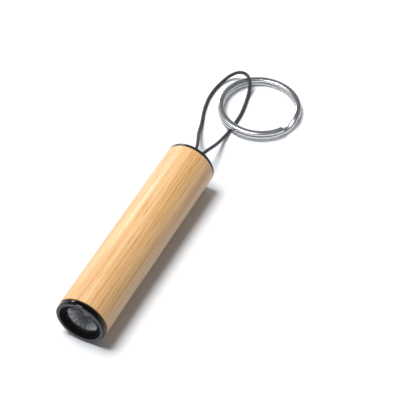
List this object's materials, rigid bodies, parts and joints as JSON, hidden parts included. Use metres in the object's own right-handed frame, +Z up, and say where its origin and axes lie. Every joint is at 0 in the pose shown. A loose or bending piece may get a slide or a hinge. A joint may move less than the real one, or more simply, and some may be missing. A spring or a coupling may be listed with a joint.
{
  "type": "keychain flashlight",
  "caption": "Slim bamboo pocket torch with a black screw-in lamp head, an inner metal liner and cell, and a thin cord loop at the tail that carries a split ring for keys.",
  "frame": {"origin": "at mid length of the torch without its cord, on the surface that it lies on", "axes": "+Y along the barrel from the lamp to the cord, +Z up, +X to the side that the ring lies on"},
  "size_m": [0.0289, 0.1115, 0.015],
  "materials": {
    "bamboo": "satin varnished bamboo, fibres along the barrel",
    "liner_metal": "plain turned aluminium",
    "tail_plastic": "satin black",
    "head_plastic": "gloss black with a satin dark grey front face",
    "brass": "bright brass",
    "spring_wire": "bright spring steel",
    "cord": "fine round braided cord, black",
    "cell_wrapper": null,
    "seal_plastic": "matt dark grey",
    "cell_steel": "nickel plated",
    "gasket_rubber": "matt black",
    "clear_lens": "clear",
    "reflector_metal": "satin metallised, faint radial streaks",
    "led_ceramic": "white ceramic",
    "led_dome": "clear over pale yellow phosphor",
    "board": "white solder mask",
    "ferrite": "dark grey ferrite",
    "chip_plastic": "black moulding",
    "capacitor_ceramic": "tan ceramic",
    "ring_steel": "bright nickel plated flat wire"
  },
  "bodies": {
    "barrel": {"bamboo_barrel": "bamboo", "liner_tube": "liner_metal", "tail_cap": "tail_plastic", "tail_plate": "brass", "tail_spring": "spring_wire", "cord_knot": "cord"},
    "cell": {"battery_can": "cell_wrapper", "battery_seal": "seal_plastic", "battery_plus_cap": "cell_steel", "battery_base": "cell_steel"},
    "head": {"head_bezel": "head_plastic", "lens_gasket": "gasket_rubber", "lens": "clear_lens", "reflector": "reflector_metal", "led_base": "led_ceramic", "led_dome": "led_dome", "circuit_board": "board", "driver_coil": "ferrite", "driver_chip": "chip_plastic", "capacitors": "capacitor_ceramic", "front_contact": "brass", "contact_ring": "brass", "head_seal": "gasket_rubber"},
    "loop": {"cord_loop": "cord"},
    "ring": {"split_ring": "ring_steel"}
  },
  "joints": [
    {"name": "cell_slide", "type": "slide", "parent": "barrel", "child": "cell", "axis": [0, -1, 0], "range_m": [-0.00025, 0.00375], "deforming": ["tail_spring"]},
    {"name": "head_twist", "type": "hinge", "parent": "cell", "child": "head", "pos_m": [0, -0.03246, 0.0075], "axis": [0, -1, 0], "range_deg": [-90, 1350]},
    {"name": "loop_swing", "type": "hinge", "parent": "barrel", "child": "loop", "pos_m": [0, 0.03306, 0.0075], "axis": [1, 0, 0], "range_deg": [-80, 80]},
    {"name": "ring_swing", "type": "hinge", "parent": "loop", "child": "ring", "pos_m": [-0.0022, 0.07506, 0.00142], "axis": [-0.745, -0.667, 0], "range_deg": [0, 120]}
  ],
  "couplings": [
    {"joint": "head_twist", "follows": "cell_slide", "rad_per_m": 6283.1}
  ]
}
